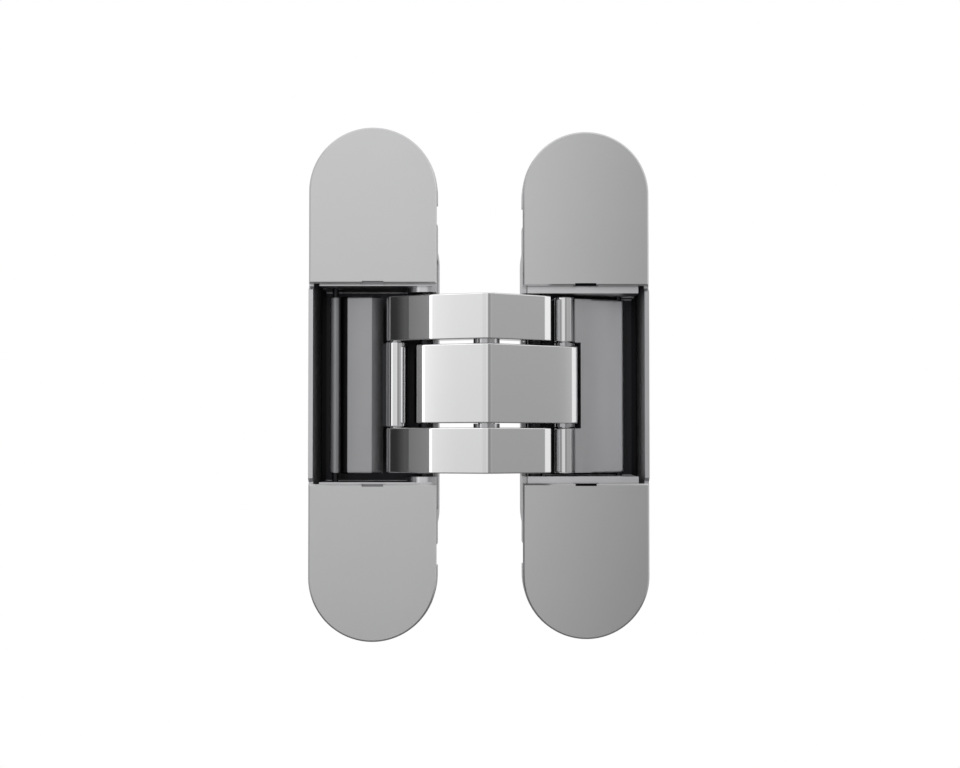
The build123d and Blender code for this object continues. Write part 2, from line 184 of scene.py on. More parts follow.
@dataclass(frozen=True)
class MetalFinish:
    """A metal finish with a fine worked grain.

    The colour and roughness drift a little over the piece, and a bump gives the grain.
    """

    name: str
    colour: str
    shade: str
    roughness: float
    spread: float
    grain_mm: float
    bump_mm: float
    grain: Grain = Grain.NONE
    metallic: float = 1.0
    drift_mm: float = 9.0
    pocket: Pocket | None = None

    def inside(self, tree: bpy.types.NodeTree, where: bpy.types.NodeSocket, middle_mm: tuple[float, float]
               ) -> bpy.types.NodeSocket:
        """Share of painted shade: one in the pocket, nought outside it.

        Args:
            tree: The node tree.
            where: Object coordinates.
            middle_mm: Middle of the half and depth of its cover face.

        Returns:
            The share, which grows with depth.
        """
        pocket, (across, face) = self.pocket, middle_mm
        parts = add_node(tree, "ShaderNodeSeparateXYZ", links={"Vector": where}).outputs
        share = add_node(tree, "ShaderNodeMapRange", {"interpolation_type": "SMOOTHSTEP"},
                         {"From Min": (face + pocket.start) * MM, "From Max": (face + pocket.end) * MM},
                         {"Value": parts["Y"]}).outputs["Result"]
        for axis, centre, limit in (("Y", face, pocket.back), ("Z", 0.0, pocket.half_height)):
            near = add_node(tree, "ShaderNodeMath", {"operation": "COMPARE"},
                            {1: centre * MM, 2: limit * MM}, {0: parts[axis]}).outputs[0]
            share = add_node(tree, "ShaderNodeMath", {"operation": "MULTIPLY"},
                             links={0: share, 1: near}).outputs[0]
        open_part = add_node(tree, "ShaderNodeMath", {"operation": "COMPARE"},
                             {1: 0.0, 2: pocket.lip * MM}, {0: parts["Z"]}).outputs[0]
        covered = add_node(tree, "ShaderNodeMath", {"operation": "SUBTRACT"},
                           {0: 1.0}, {1: open_part}).outputs[0]
        shade_share = add_node(tree, "ShaderNodeMath", {"operation": "MAXIMUM"},
                        links={0: share, 1: covered}).outputs[0]
        within = add_node(tree, "ShaderNodeMath", {"operation": "COMPARE"},
                          {1: across * MM, 2: pocket.half_width * MM}, {0: parts["X"]}).outputs[0]
        return add_node(tree, "ShaderNodeMath", {"operation": "MULTIPLY"},
                        links={0: shade_share, 1: within}).outputs[0]

    def material(self, middle_mm: tuple[float, float] = (0.0, 0.0), suffix: str = "") -> bpy.types.Material:
        """Build the node material.

        Args:
            middle_mm: Middle of the half and depth of its cover face, where there is a pocket.
            suffix: Added to the name where a finish is made for one half.

        Returns:
            The material.
        """
        made = blank_material(self.name + suffix)
        tree = made.node_tree
        where = add_node(tree, "ShaderNodeTexCoord").outputs["Object"]
        run = add_node(tree, "ShaderNodeMapping", values={"Scale": self.grain.value},
                       links={"Vector": where}).outputs["Vector"]
        fine = add_node(tree, "ShaderNodeTexNoise",
                        values={"Scale": 1.0 / (self.grain_mm * MM), "Detail": 3.0, "Roughness": 0.6},
                        links={"Vector": run}).outputs["Fac"]
        broad = add_node(tree, "ShaderNodeTexNoise",
                         values={"Scale": 1.0 / (self.drift_mm * MM), "Detail": 2.0, "Roughness": 0.5},
                         links={"Vector": where}).outputs["Fac"]
        tone = add_node(tree, "ShaderNodeMix", {"data_type": "RGBA"},
                        {"A": linear(self.shade), "B": linear(self.colour)},
                        {"Factor": broad}).outputs["Result"]
        # Painted shade: the pocket's dark colour is laid over the tone where the mask is one.
        if self.pocket is not None:
            tone = add_node(tree, "ShaderNodeMix", {"data_type": "RGBA"}, {"B": linear(self.pocket.colour)},
                            {"Factor": self.inside(tree, where, middle_mm), "A": tone}).outputs["Result"]
        low, high = self.roughness - self.spread, self.roughness + self.spread
        gloss = add_node(tree, "ShaderNodeMapRange", values={"To Min": low, "To Max": high},
                         links={"Value": fine}).outputs["Result"]
        lumps = add_node(tree, "ShaderNodeBump", values={"Strength": 1.0, "Distance": self.bump_mm * MM},
                         links={"Height": fine}).outputs["Normal"]
        shader = add_node(tree, "ShaderNodeBsdfPrincipled", values={"Metallic": self.metallic},
                          links={"Base Color": tone, "Roughness": gloss, "Normal": lumps})
        add_node(tree, "ShaderNodeOutputMaterial", links={"Surface": shader.outputs["BSDF"]})
        return made


# Silver lacquer on a zinc casting: a soft even sheen with a very fine grain.
SATIN_LACQUER = MetalFinish("satin silver lacquer", "#D0D0D1", "#CDCDCE", roughness=0.3, spread=0.02,
                            grain_mm=0.35, bump_mm=0.0004)
# The covers: the same lacquer, with painted shade in the pry notches, grey on the frame and dark on the door.
NOTCH_SHADE = Pocket(start=0.15, end=0.4, colour="#88888A", half_width=2.4, half_height=19.3)
GREY_NOTCH_SHADE_LACQUER = replace(SATIN_LACQUER, pocket=NOTCH_SHADE)
DARK_NOTCH_SHADE_LACQUER = replace(SATIN_LACQUER, pocket=replace(NOTCH_SHADE, colour="#161618"))
# The cups: a like lacquer outside, and painted shade that darkens the pocket with depth.
CAST_ZINC = MetalFinish("lacquered zinc casting", "#D7D7D9", "#CFCFD1", roughness=0.38, spread=0.04,
                        grain_mm=0.5, bump_mm=0.0012,
                        pocket=Pocket(start=17.5, end=20.3, colour="#242426", half_width=11.65,
                                      half_height=23.8, back=21.4))
# The sliding carriers: lacquered faces, with painted shade in the depth and under the covers.
MACHINED_ZINC = MetalFinish("lacquered carrier casting", "#DFDFE1", "#D8D8DA", roughness=0.3, spread=0.04,
                            grain_mm=0.4, bump_mm=0.0008, grain=Grain.LEVEL,
                            pocket=Pocket(start=3.0, end=12.0, colour="#2C2C2E", half_width=11.0, lip=18.75))
# Polished nickel plate on steel arms: near a mirror, with faint upright polishing lines.
POLISHED_NICKEL = MetalFinish("polished nickel plate", "#E6E6E7", "#E3E3E4", roughness=0.06, spread=0.01,
                              grain_mm=0.3, bump_mm=0.0001, grain=Grain.UPRIGHT)
# Links: plated steel strip with a fine satin, greyer on the frame side as painted shade and lighter on the
# door side as painted light.
SHADED_LINK_STEEL = MetalFinish("satin link steel as painted shade", "#ACACAE", "#A4A4A6", roughness=0.4, spread=0.03,
                          grain_mm=0.25, bump_mm=0.0003, grain=Grain.UPRIGHT)
# The door link's lighter copy is painted light.
LIT_LINK_NICKEL = MetalFinish("satin link nickel as painted light", "#D1D1D3", "#CECED0", roughness=0.3, spread=0.02,
                           grain_mm=0.25, bump_mm=0.0001, grain=Grain.UPRIGHT)
# Inner webs and the pins in the carriers: a near-black steel colour that is painted shade.
PAINTED_SHADE_STEEL = MetalFinish("steel darkened as painted shade", "#39393B", "#2E2E30", roughness=0.3, spread=0.04,
                          grain_mm=0.3, bump_mm=0.0004)
# The arms' pins and washers: ground steel.
GROUND_STEEL = MetalFinish("ground steel", "#C2C2C4", "#B8B8BA", roughness=0.18, spread=0.03,
                           grain_mm=0.2, bump_mm=0.0003)
# Screws: bright zinc plate with a slight haze.
ZINC_PLATE = MetalFinish("bright zinc plate", "#B9BABD", "#AEB0B4", roughness=0.28, spread=0.06,
                         grain_mm=0.6, bump_mm=0.001)
# Bushes: dark filled plastic.
BEARING_PLASTIC = MetalFinish("filled bearing plastic", "#2A2A2C", "#242426", roughness=0.5, spread=0.06,
                              grain_mm=0.3, bump_mm=0.001, metallic=0.0)


def dress(nodes: list[str], finish: bpy.types.Material) -> None:
    """Give CAD nodes one finish.

    Args:
        nodes: Names of the nodes.
        finish: The material.
    """
    for name in nodes:
        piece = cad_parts[name]
        piece.data.materials.clear()
        piece.data.materials.append(finish)
        log.info("%s: %s", name, finish.name)


@dataclass
class HousingHalf:
    """One half: the cast cup, its covers, the carrier and its screws."""

    half: Half
    middle_mm: tuple[float, float]
    plate_in_mm: float
    lacquer: MetalFinish
    covers: tuple[str, ...] = ("upper_cover", "lower_cover")
    screws: tuple[str, ...] = ("clamp_screws", "clamp_washers", "side_adjusters")

    def named(self, names: tuple[str, ...]) -> list[str]:
        """Names of this half's nodes."""
        return [f"{self.half.value}_{name}" for name in names]

    def dress(self, finishes: dict[str, bpy.types.Material]) -> None:
        """Give the half its finishes.

        Args:
            finishes: Materials by the name of their finish.
        """
        suffix = f", {self.half.value} half"
        dress(self.named(self.covers), self.lacquer.material(self.middle_mm, suffix))
        dress(self.named(("housing",)), CAST_ZINC.material(self.middle_mm, suffix))
        # The carrier's painted shade by depth stops at the height of its end plates.
        between_plates = replace(MACHINED_ZINC.pocket, half_height=self.plate_in_mm)
        carrier = replace(MACHINED_ZINC, pocket=between_plates)
        dress(self.named(("carrier",)), carrier.material(self.middle_mm, suffix))
        dress(self.named(self.screws), finishes[ZINC_PLATE.name])
        # The pins in the carriers take the dark steel as painted shade.
        dress(self.named(("arm_pin", "link_pin")), finishes[PAINTED_SHADE_STEEL.name])


@dataclass(frozen=True)
class Corner:
    """One corner of an outline, in millimetres, with the radius that rounds it."""

    x: float
    y: float
    radius: float = 0.12


@dataclass(frozen=True)
class Bore:
    """A round hole along the height of a piece, in millimetres."""

    x: float
    y: float
    radius: float


def four_sided(near: float, far: float, front: float, back: float, radius: float = Corner.radius
               ) -> list[Corner]:
    """Outline with two sides along x and two along y.

    Args:
        near: Smaller x.
        far: Larger x.
        front: Smaller y.
        back: Larger y.
        radius: Rounding of all corners.

    Returns:
        The corners in order.
    """
    return [Corner(near, front, radius), Corner(far, front, radius), Corner(far, back, radius),
            Corner(near, back, radius)]


def rounded(points: np.ndarray, radii: np.ndarray, steps: int) -> tuple[np.ndarray, np.ndarray]:
    """Round the corners of a closed outline that runs anticlockwise.

    Each corner is replaced by an arc that touches both of its sides: the arc's centre lies on the
    line that halves the corner, at the radius over the sine of half the angle.

    Args:
        points: Corners, one row each.
        radii: Radius at each corner.
        steps: Points on each arc.

    Returns:
        Points along the outline, and the outward normals there.
    """
    before, after = np.roll(points, 1, axis=0) - points, np.roll(points, -1, axis=0) - points
    before /= np.linalg.norm(before, axis=1, keepdims=True)
    after /= np.linalg.norm(after, axis=1, keepdims=True)
    half = 0.5 * np.arccos(np.clip((before * after).sum(axis=1), -1.0, 1.0))
    middle = before + after
    middle /= np.linalg.norm(middle, axis=1, keepdims=True)
    centre = points + middle * (radii / np.sin(half))[:, None]
    reach = (radii / np.tan(half))[:, None]
    first, last = points + before * reach - centre, points + after * reach - centre
    start = np.arctan2(first[:, 1], first[:, 0])
    swing = np.arctan2(last[:, 1], last[:, 0]) - start
    swing = (swing + np.pi) % (2.0 * np.pi) - np.pi
    angle = start[:, None] + swing[:, None] * np.linspace(0.0, 1.0, steps)
    spoke = np.stack((np.cos(angle), np.sin(angle)), axis=2)
    arc = centre[:, None, :] + spoke * radii[:, None, None]
    outward = spoke * np.sign(swing)[:, None, None]
    return arc.reshape(-1, 2), outward.reshape(-1, 2)


def ring_quads(count: int, levels: int, offset: int = 0) -> np.ndarray:
    """Quads of a closed grid of rings, one ring per level.

    Args:
        count: Points in a ring.
        levels: Rings.
        offset: Number of the first point.

    Returns:
        Point numbers, four for each quad.
    """
    around = np.arange(count)
    step = np.roll(around, -1)
    low = np.arange(levels - 1)[:, None] * count
    quads = np.stack((low + around, low + step, low + count + step, low + count + around), axis=2)
    return quads.reshape(-1, 4) + offset


@dataclass
class Prism:
    """An upright piece of one outline, with rounded rims and round bores."""

    corners: list[Corner]
    bottom: float
    top: float
    rim: float = 0.25
    bores: list[Bore] = field(default_factory=list)
    finish: int = 0
    arc_steps: int = 10
    rim_steps: int = 5
    bore_steps: int = 48

    def surface(self, put: Put) -> tuple[np.ndarray, np.ndarray, list[list[int]]]:
        """Work out the points, their normals and the faces.

        The outline is carried up from the bottom to the top. Along each rim it moves inwards by
        rim * (1 - cos a) while it rises by rim * sin a, and the normal leans by the angle a.

        Args:
            put: Takes outline points in millimetres and returns them in the shared frame.

        Returns:
            Points in metres, the normals there and the faces.
        """
        places = put(np.array([(corner.x, corner.y) for corner in self.corners]))
        radii = np.array([corner.radius for corner in self.corners])
        x, y = places.T
        if np.sum(x * np.roll(y, -1) - y * np.roll(x, -1)) < 0.0:
            places, radii = places[::-1], radii[::-1]
        line, outward = rounded(places, radii, self.arc_steps)
        bend = np.linspace(0.0, 0.5 * np.pi, self.rim_steps)
        lean = np.concatenate((-bend[::-1], bend))[:, None, None]
        low = self.bottom + self.rim * (1.0 - np.sin(bend[::-1]))
        height = np.concatenate((low, self.top - self.rim * (1.0 - np.sin(bend))))[:, None, None]
        shell = line - outward * self.rim * (1.0 - np.cos(lean))
        levels, count = shell.shape[:2]
        upright = np.ones((1, count, 1))
        points = [np.concatenate((shell, height * upright), axis=2).reshape(-1, 3)]
        normals = [np.concatenate((outward * np.cos(lean), np.sin(lean) * upright), axis=2).reshape(-1, 3)]
        faces = ring_quads(count, levels).tolist()
        lower, upper = [np.arange(count)], [np.arange(count) + (levels - 1) * count]
        start, steps = levels * count, self.bore_steps
        turn = np.linspace(0.0, 2.0 * np.pi, steps, endpoint=False)
        spoke = np.stack((np.cos(turn), np.sin(turn)), axis=1)
        ends = np.repeat([self.bottom, self.top], steps)[:, None]
        for bore in self.bores:
            circle = np.tile(put(np.array([(bore.x, bore.y)])) + bore.radius * spoke, (2, 1))
            points += [np.concatenate((circle, ends), axis=1)] * 2
            normals.append(np.concatenate((np.tile(-spoke, (2, 1)), 0.0 * ends), axis=1))
            normals.append(np.concatenate((0.0 * circle, np.repeat([-1.0, 1.0], steps)[:, None]), axis=1))
            faces += ring_quads(steps, 2, start)[:, ::-1].tolist()
            lower.append(np.arange(steps) + start + 2 * steps)
            upper.append(np.arange(steps) + start + 3 * steps)
            start += 4 * steps
        cloud = np.concatenate(points)
        for loops, side in ((lower, -1), (upper, 1)):
            flat = np.concatenate(loops)
            fill = tessellate_polygon([[Vector(cloud[i]) for i in loop] for loop in loops])
            numbers = flat[np.array(fill)]
            first, second, third = cloud[numbers[:, 0]], cloud[numbers[:, 1]], cloud[numbers[:, 2]]
            facing = np.cross(second - first, third - first)[:, 2] * side > 0.0
            faces += np.where(facing[:, None], numbers, numbers[:, ::-1]).tolist()
        return cloud * MM, np.concatenate(normals), faces


def make_piece(name: str, prisms: list[Prism], put: Put,
               finishes: list[bpy.types.Material]) -> bpy.types.Object:
    """Make one object from upright prisms, with flat faces and smooth rounds.

    Args:
        name: Name of the object.
        prisms: Its parts.
        put: Takes outline points in millimetres and returns them in the shared frame.
        finishes: Its materials, which the prisms name by number.

    Returns:
        The object.
    """
    points: list[np.ndarray] = []
    normals: list[np.ndarray] = []
    faces: list[list[int]] = []
    numbers: list[int] = []
    start = 0
    for prism in prisms:
        cloud, facing, some = prism.surface(put)
        faces += [[number + start for number in face] for face in some]
        numbers += [prism.finish] * len(some)
        points.append(cloud)
        normals.append(facing)
        start += len(cloud)
    mesh = bpy.data.meshes.new(name)
    mesh.from_pydata(np.concatenate(points).tolist(), [], faces)
    mesh.update()
    mesh.polygons.foreach_set("use_smooth", np.ones(len(mesh.polygons), dtype=bool))
    mesh.normals_split_custom_set_from_vertices(np.concatenate(normals).tolist())
    for finish in finishes:
        mesh.materials.append(finish)
    mesh.polygons.foreach_set("material_index", np.array(numbers, dtype=np.int32))
    made = add_object(name, mesh)
    log.info("%s: %d faces, %s", name, len(faces), ", ".join(finish.name for finish in finishes))
    return made


@dataclass(frozen=True)
class LinkageFrame:
    """The linkage's own frame, mirrored about x = 0 and turned against the housings."""

    origin_x: float = 20.8
    origin_y: float = -5.1
    yaw_deg: float = 6.9
    cross: tuple[float, float] = (0.0, -3.4)
    fixed: tuple[float, float] = (10.4, 5.5)
    knuckle: tuple[float, float] = (16.1, 5.2)

    def put(self, points: np.ndarray, side: int = 1) -> np.ndarray:
        """Turn outline points into the shared frame.

        Args:
            points: Points of the outline, as drawn on the door side.
            side: 1 keeps them there, -1 mirrors them to the frame side.

        Returns:
            The points in the shared frame, in millimetres.
        """
        turn = math.radians(self.yaw_deg)
        x, y = side * points[:, 0], points[:, 1]
        across = self.origin_x + x * math.cos(turn) - y * math.sin(turn)
        return np.stack((across, self.origin_y + x * math.sin(turn) + y * math.cos(turn)), axis=1)


@dataclass
class Arms:
    """The crossed arms with their pins, bushes and washers."""

    linkage: LinkageFrame = field(default_factory=LinkageFrame)
    bend_y: float = -7.2
    slope_deg: float = 29.0
    thickness: float = 4.6
    bend_r: float = 2.5
    fixed_r: float = 2.3
    knuckle_r: float = 1.9
    facet_deg: float = 35.0
    facet_r: float = 7.0
    nose_deg: float = 31.0
    facet_x: float = 10.25
    crease_x: float = 14.1
    nose_x: float = 18.3
    nose_l: float = 1.2
    cheek_l: float = 1.15
    end_swell_deg: float = 2.0
    end_swell_r: float = 44.0
    crease_r: float = 0.1
    soft_r: float = 0.3
    back_bend_r: float = 1.0
    round_slack: float = 0.05
    heel_set: float = 0.2
    heel_x: float = 13.6
    inner_half: float = 7.35
    prong: float = 8.2
    arm_half: float = 16.7
    cross_bore: float = 1.62
    fixed_bore: float = 1.82
    knuckle_bore: float = 1.22
    pins: tuple[str, ...] = ("centre_pin", "frame_knuckle_pin", "door_knuckle_pin")
    washers: tuple[str, ...] = ("centre_washers", "door_knuckle_washers")
    bushes: tuple[str, ...] = ("outer_arm_bushes", "inner_arm_bush")

    def front(self, x: float) -> float:
        """Depth of the front face beside the bend."""
        return self.bend_y + x * math.tan(math.radians(self.slope_deg))

    def back(self, x: float) -> float:
        """Depth of the back face beside the bend."""
        return self.front(x) + self.thickness / math.cos(math.radians(self.slope_deg))

    def facet(self, start: float, end: float) -> float:
        """Depth where a facet that breaks the front at start reaches end."""
        return self.front(start) + (end - start) * math.tan(math.radians(self.facet_deg))

    def prong_end(self, tip: float) -> list[Corner]:
        """The slightly swelled face that runs from the crease on to the knuckle's round.

        Args:
            tip: Outermost x of the prong.

        Returns:
            The crease, the middle of the swelling and the tip.
        """
        start = self.facet(self.facet_x, self.crease_x)
        across, deep = self.linkage.knuckle[0] - self.crease_x, self.linkage.knuckle[1] - start
        slope = math.atan2(deep, across) - math.asin(self.knuckle_r / math.hypot(across, deep))
        reach = tip - self.crease_x
        middle = start + 0.5 * reach * math.tan(slope - math.radians(self.end_swell_deg))
        return [Corner(self.crease_x, start, self.crease_r),
                Corner(self.crease_x + 0.5 * reach, middle, self.end_swell_r),
                Corner(tip, start + reach * math.tan(slope), self.knuckle_r - self.round_slack)]

    def outline(self, front: list[Corner], tip: float) -> list[Corner]:
        """Closed outline of an arm whose long end lies on the door side.

        Args:
            front: Corners of the long end's front, from the bend outwards.
            tip: Outermost x of the long end.

        Returns:
            The corners in order.
        """
        fixed_x, fixed_y = self.linkage.fixed
        edge, inner = fixed_x + self.fixed_r, fixed_x - self.fixed_r
        heel_y = self.linkage.knuckle[1] + self.knuckle_r
        cheek = edge - self.cheek_l
        knuckle_round, fixed_round = self.knuckle_r - self.round_slack, self.fixed_r - self.round_slack
        return [
            Corner(0.0, self.bend_y, self.bend_r), *front, Corner(tip, heel_y, knuckle_round),
            Corner(self.linkage.knuckle[0] - self.heel_set, heel_y, self.soft_r),
            Corner(self.heel_x, self.back(self.heel_x)), Corner(0.0, self.back(0.0), self.back_bend_r),
            Corner(-inner, self.back(inner)), Corner(-inner, fixed_y + self.fixed_r, fixed_round),
            Corner(-edge, fixed_y + self.fixed_r, fixed_round),
            Corner(-edge, self.facet(cheek, edge), self.soft_r),
            Corner(-cheek, self.front(cheek), self.facet_r)]

    def arm(self, front: list[Corner], tip: float, bottom: float, top: float) -> Prism:
        """One arm of a given height.

        Args:
            front: Corners of the long end's front.
            tip: Outermost x of the long end.
            bottom: Height of its lower rim.
            top: Height of its upper rim.

        Returns:
            The prism.
        """
        bores = [Bore(*self.linkage.cross, self.cross_bore), Bore(*self.linkage.knuckle, self.knuckle_bore),
                 Bore(-self.linkage.fixed[0], self.linkage.fixed[1], self.fixed_bore)]
        return Prism(self.outline(front, tip), bottom, top, bores=bores)

    def build(self, plated: bpy.types.Material) -> None:
        """Make the three arms over their solids.

        Args:
            plated: The arms' finish.
        """
        nose = self.nose_x - self.nose_l
        drop = self.nose_l * math.tan(math.radians(self.nose_deg))
        nose_front = [Corner(nose, self.front(nose), self.facet_r),
                      Corner(self.nose_x, self.front(nose) + drop, self.soft_r)]
        tip = self.linkage.knuckle[0] + self.knuckle_r
        prong_front = [Corner(self.facet_x, self.front(self.facet_x), self.facet_r), *self.prong_end(tip)]
        inner = self.arm(nose_front, self.nose_x, -self.inner_half, self.inner_half)
        upper = self.arm(prong_front, tip, self.prong, self.arm_half)
        lower = self.arm(prong_front, tip, -self.arm_half, -self.prong)
        mirrored = partial(self.linkage.put, side=-1)
        for name, prism, body, put in (("inner_arm", inner, "inner_arm", self.linkage.put),
                                       ("upper_outer_arm", upper, "outer_arm", mirrored),
                                       ("lower_outer_arm", lower, "outer_arm", mirrored)):
            piece = make_piece(f"{name}_plated", [prism], put, [plated])
            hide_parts(name)
            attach(piece, body)

    def dress(self, finishes: dict[str, bpy.types.Material]) -> None:
        """Give the arms' small pieces their finishes.

        Args:
            finishes: Materials by the name of their finish.
        """
        dress(list(self.pins + self.washers), finishes[GROUND_STEEL.name])
        dress(list(self.bushes), finishes[BEARING_PLASTIC.name])


@dataclass
class Link:
    """A plate from an arm's knuckle to the pin that slides in the carrier."""

    half: Half
    slide: float
    set_back: float
    linkage: LinkageFrame = field(default_factory=LinkageFrame)
    tilt_deg: float = 16.28
    roll_r: float = 2.0
    eye_r: float = 1.05
    bevel_end: float = 4.8
    fold_deg: float = 46.7
    plate_end: float = 9.6
    slope_deep: float = 1.5
    web_set: float = 1.8
    web_t: float = 1.2
    web_drop: float = 0.8
    groove: float = 0.7
    groove_reach: float = 1.5
    flush: float = 0.02
    lap: float = 0.1
    plate_rim: float = 0.45
    plate_edge_r: float = 0.2
    web_rim: float = 0.2
    eye_rim: float = 0.3
    eye_slack: float = 0.02
    slope_r: float = 0.05
    wedge_r: float = 0.03
    wedge_front: float = 0.15
    wedge_back: float = 0.05
    roll_slack: float = 0.002
    roll_steps: int = 20
    half_height: float = 16.85
    prong: float = 8.2
    side_gap: float = 0.2
    pin_bore: float = 1.25
    slide_bore: float = 0.62

    def put(self, points: np.ndarray) -> np.ndarray:
        """Turn points of the link's own outline into the shared frame."""
        turn = math.radians(self.tilt_deg)
        x, y = points.T
        across = self.linkage.knuckle[0] + x * math.cos(turn) - y * math.sin(turn)
        deep = self.linkage.knuckle[1] + x * math.sin(turn) + y * math.cos(turn)
        side = -1 if self.half is Half.FRAME else 1
        return self.linkage.put(np.stack((across, deep), axis=1), side)

    def bevel(self, depth: float) -> float:
        """Where the bevel that clears the folded arm lies at a depth."""
        return self.bevel_end - depth / math.tan(math.radians(self.fold_deg))

    def plate(self) -> list[Prism]:
        """The full-height plate with its rounded end, which on the frame side lies past a slope."""
        front, back = self.set_back, self.set_back + 2.0 * self.eye_r
        near, far = self.slide - self.eye_r, self.slide + self.eye_r
        bores = [Bore(self.slide, front + self.eye_r, self.slide_bore)]
        low, high, r = -self.half_height, self.half_height, self.eye_r - self.eye_slack
        if self.half is Half.DOOR:
            edge = self.bevel(front)
            inner, deep = edge + self.lap, back - self.wedge_back
            flat = [Corner(edge, back), Corner(edge, front, self.plate_edge_r), Corner(far, front, r),
                    Corner(far, back, r)]
            # The wedge behind the door plate's bevel takes the dark steel as painted shade.
            wedge = [Corner(self.bevel(back), deep, self.wedge_r),
                     Corner(inner, front + self.wedge_front, self.wedge_r), Corner(inner, deep, self.wedge_r)]
            return [Prism(flat, low, high, self.plate_rim, bores),
                    Prism(wedge, low, high, self.web_rim, finish=Coat.PAINTED_SHADE)]
        start, end = self.plate_end - self.lap, near + self.lap
        flat = [Corner(self.bevel(back), back), Corner(self.bevel(front), front),
                Corner(self.plate_end, front), Corner(self.plate_end, back)]
        # The slope down to the eye takes the dark steel as painted shade.
        slope = [Corner(start, front + self.lap, self.slope_r), Corner(end, self.slope_deep, self.slope_r),
                 Corner(end, back, self.slope_r), Corner(start, back, self.slope_r)]
        eye = four_sided(near, far, front, back, r)
        return [Prism(flat, low, high, self.plate_rim),
                Prism(slope, low, high, self.web_rim, finish=Coat.PAINTED_SHADE),
                Prism(eye, low, high, self.eye_rim, bores)]

    def roll(self, bottom: float, top: float) -> Prism:
        """A knuckle between two heights, a circle given as a square with fully rounded corners."""
        r = self.roll_r
        return Prism(four_sided(-r, r, -r, r, r - self.roll_slack), bottom, top,
                     bores=[Bore(0.0, 0.0, self.pin_bore)], finish=Coat.POLISHED, arc_steps=self.roll_steps)

    def web(self, bottom: float, top: float) -> list[Prism]:
        """The short bridge from a knuckle to the plate, with a dark groove beside the door's knuckles; the
        dark inner web is painted shade.
        """
        if self.half is Half.FRAME:
            # The frame's web takes the dark steel as painted shade.
            outline = four_sided(0.0, self.bevel_end, self.web_set, self.web_set + self.web_t)
            return [Prism(outline, bottom, top, self.web_rim, finish=Coat.PAINTED_SHADE)]
        back = self.set_back + 2.0 * self.eye_r - self.lap
        # The deep web takes the dark steel as painted shade; the plate's own web stands in front of it past a
        # groove.
        dark = four_sided(self.pin_bore + self.lap, self.bevel_end, self.set_back + self.web_drop, back)
        bright = four_sided(self.roll_r + self.groove, self.bevel_end + self.groove_reach,
                            self.set_back + self.flush, back)
        return [Prism(dark, bottom, top, self.web_rim, finish=Coat.PAINTED_SHADE),
                Prism(bright, bottom, top, self.web_rim)]

    def build(self, finishes: list[bpy.types.Material]) -> None:
        """Make the link over its solid.

        Args:
            finishes: The plate's finish, the knuckles' and that of the inner webs.
        """
        reach = self.prong - self.side_gap
        spans = [(-reach, reach)]
        if self.half is Half.DOOR:
            spans = [(self.prong, self.half_height), (-self.half_height, -self.prong)]
        prisms = self.plate()
        for bottom, top in spans:
            prisms += [self.roll(bottom, top), *self.web(bottom, top)]
        name = f"{self.half.value}_link"
        piece = make_piece(f"{name}_plated", prisms, self.put, finishes)
        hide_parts(name)
        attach(piece, name)


